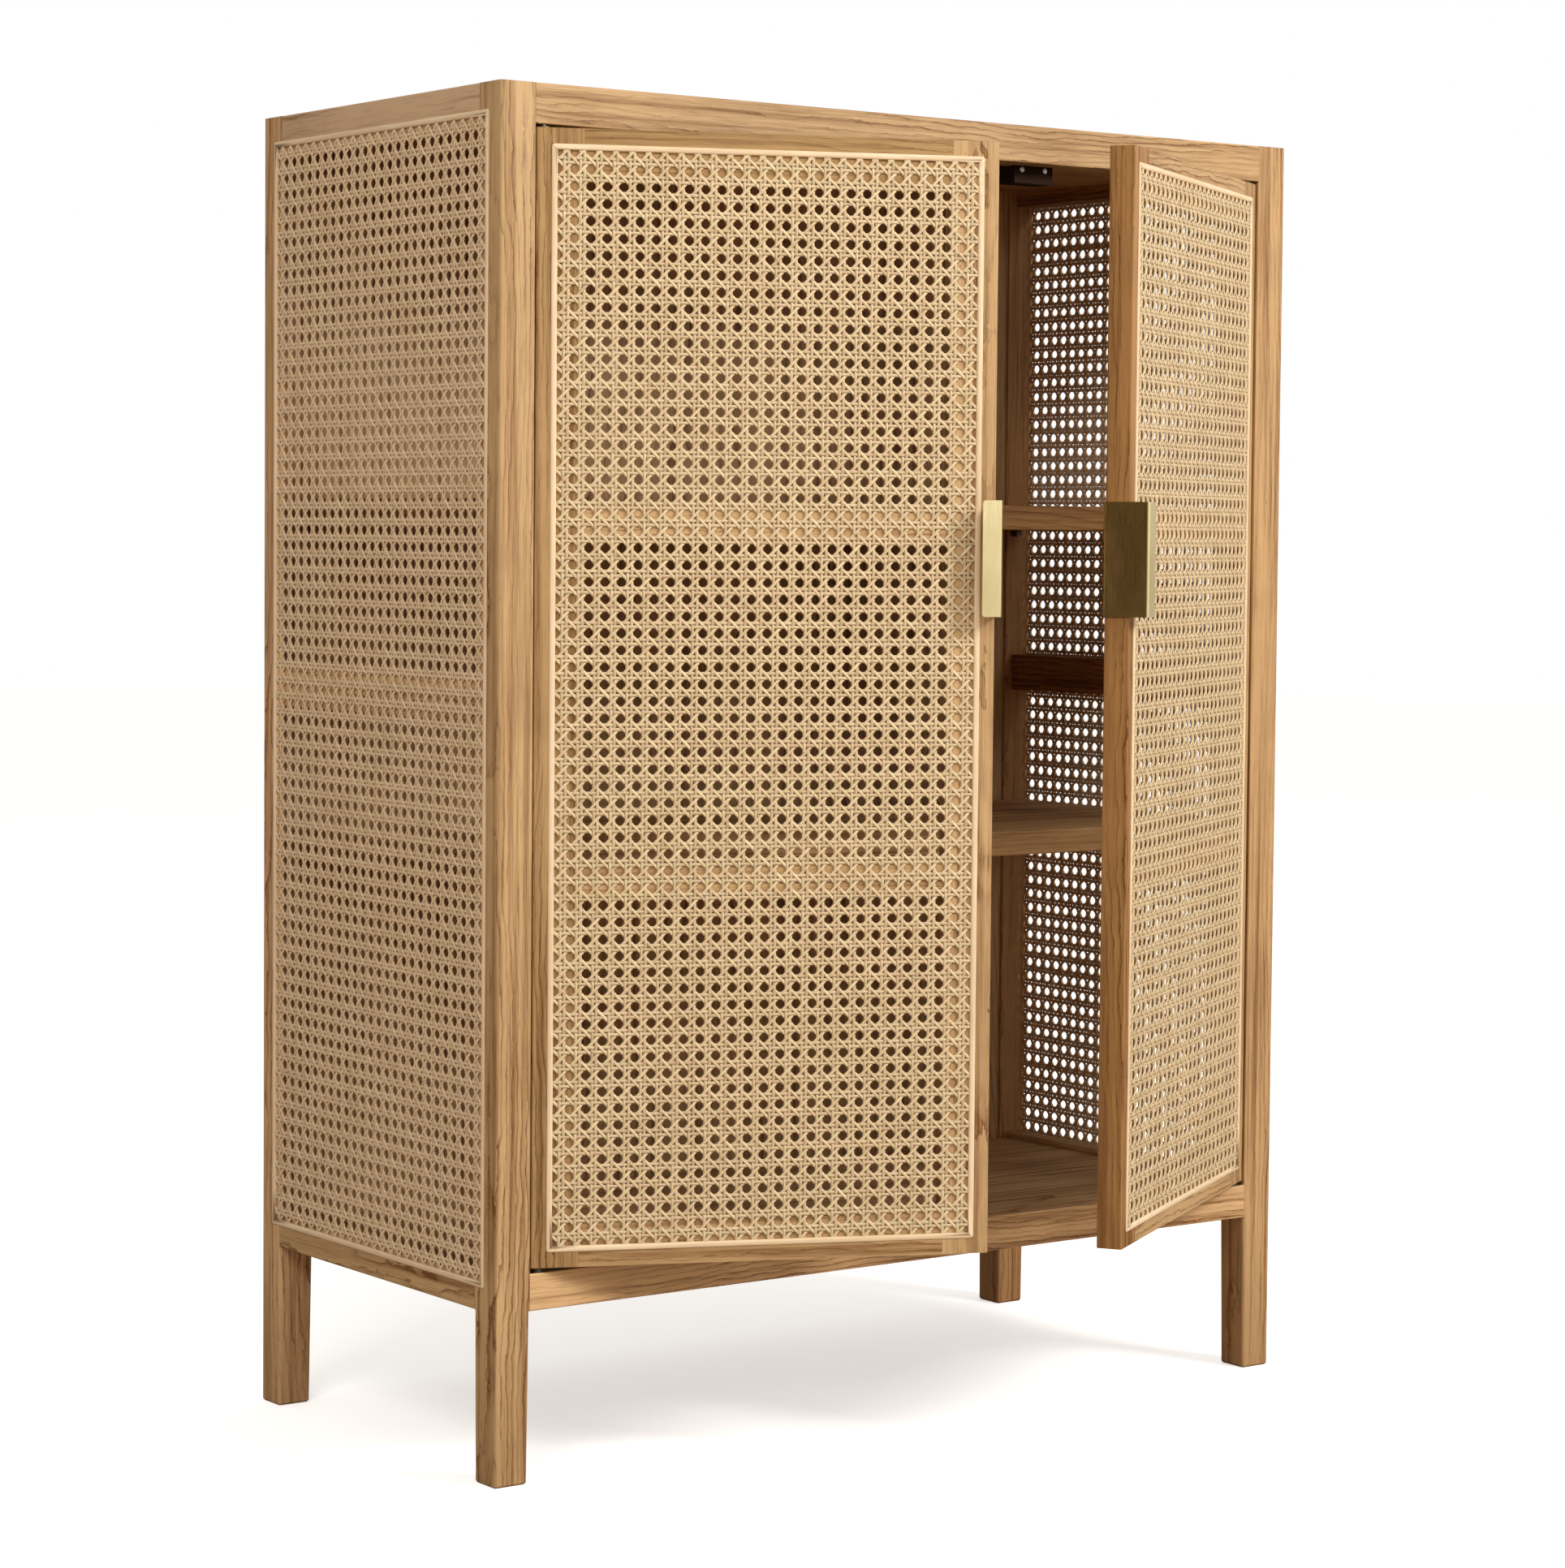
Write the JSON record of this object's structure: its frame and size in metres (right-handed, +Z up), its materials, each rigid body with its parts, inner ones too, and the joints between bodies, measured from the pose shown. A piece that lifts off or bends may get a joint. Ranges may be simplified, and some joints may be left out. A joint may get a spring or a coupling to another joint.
{
  "type": "shoe cabinet",
  "caption": "Tall shoe cabinet on square legs, with an oak frame, woven cane sides, shelves, and cane doors with bent brass edge pulls that swing on pivot pins.",
  "frame": {"origin": "centre of the whole cabinet's bounding box at floor level, with the doors ajar as modelled", "axes": "+X to the right as seen from the front, +Y from the front to the back, +Z up"},
  "size_m": [0.7808, 0.5592, 1.04],
  "materials": {
    "oak": "oiled oak",
    "cane": "natural woven cane",
    "spline": "natural reed",
    "brass": "brushed brass",
    "steel": "zinc plated",
    "catch": "moulded plastic"
  },
  "bodies": {
    "cabinet": {"front_top_rail": "oak", "front_bottom_rail": "oak", "back_top_rail": "oak", "back_bottom_rail": "oak", "left_top_rail": "oak", "left_bottom_rail": "oak", "left_mid_rail": "oak", "right_top_rail": "oak", "right_bottom_rail": "oak", "right_mid_rail": "oak", "left_side_cane": "cane", "left_side_spline": "spline", "right_side_cane": "cane", "right_side_spline": "spline", "top_board": "oak", "bottom_board": "oak", "back_board": "oak", "lower_shelf": "oak", "lower_shelf_pins": "steel", "upper_shelf": "oak", "upper_shelf_pins": "steel", "left_top_pivot": "steel", "left_bottom_pivot": "steel", "right_top_pivot": "steel", "right_bottom_pivot": "steel", "pivot_screws": "steel", "left_catch": "catch", "right_catch": "catch", "front_left_post": "oak", "back_left_post": "oak", "front_right_post": "oak", "back_right_post": "oak"},
    "left_door": {"left_door_hinge_stile": "oak", "left_door_closing_stile": "oak", "left_door_top_rail": "oak", "left_door_bottom_rail": "oak", "left_door_upper_mid_rail": "oak", "left_door_lower_mid_rail": "oak", "left_door_cane": "cane", "left_door_spline": "spline", "left_door_pull": "brass", "left_door_pull_screws": "brass", "left_door_bushes": "brass", "left_door_strike": "steel"},
    "right_door": {"right_door_hinge_stile": "oak", "right_door_closing_stile": "oak", "right_door_top_rail": "oak", "right_door_bottom_rail": "oak", "right_door_upper_mid_rail": "oak", "right_door_lower_mid_rail": "oak", "right_door_cane": "cane", "right_door_spline": "spline", "right_door_pull": "brass", "right_door_pull_screws": "brass", "right_door_bushes": "brass", "right_door_strike": "steel"}
  },
  "joints": [
    {"name": "left_door_hinge", "type": "hinge", "parent": "cabinet", "child": "left_door", "pos_m": [-0.3508, -0.07588, 0.58475], "axis": [0, 0, -1], "range_deg": [-23, 72]},
    {"name": "right_door_hinge", "type": "hinge", "parent": "cabinet", "child": "right_door", "pos_m": [0.3508, -0.07588, 0.58475], "axis": [0, 0, 1], "range_deg": [-32.1, 62.9]}
  ]
}
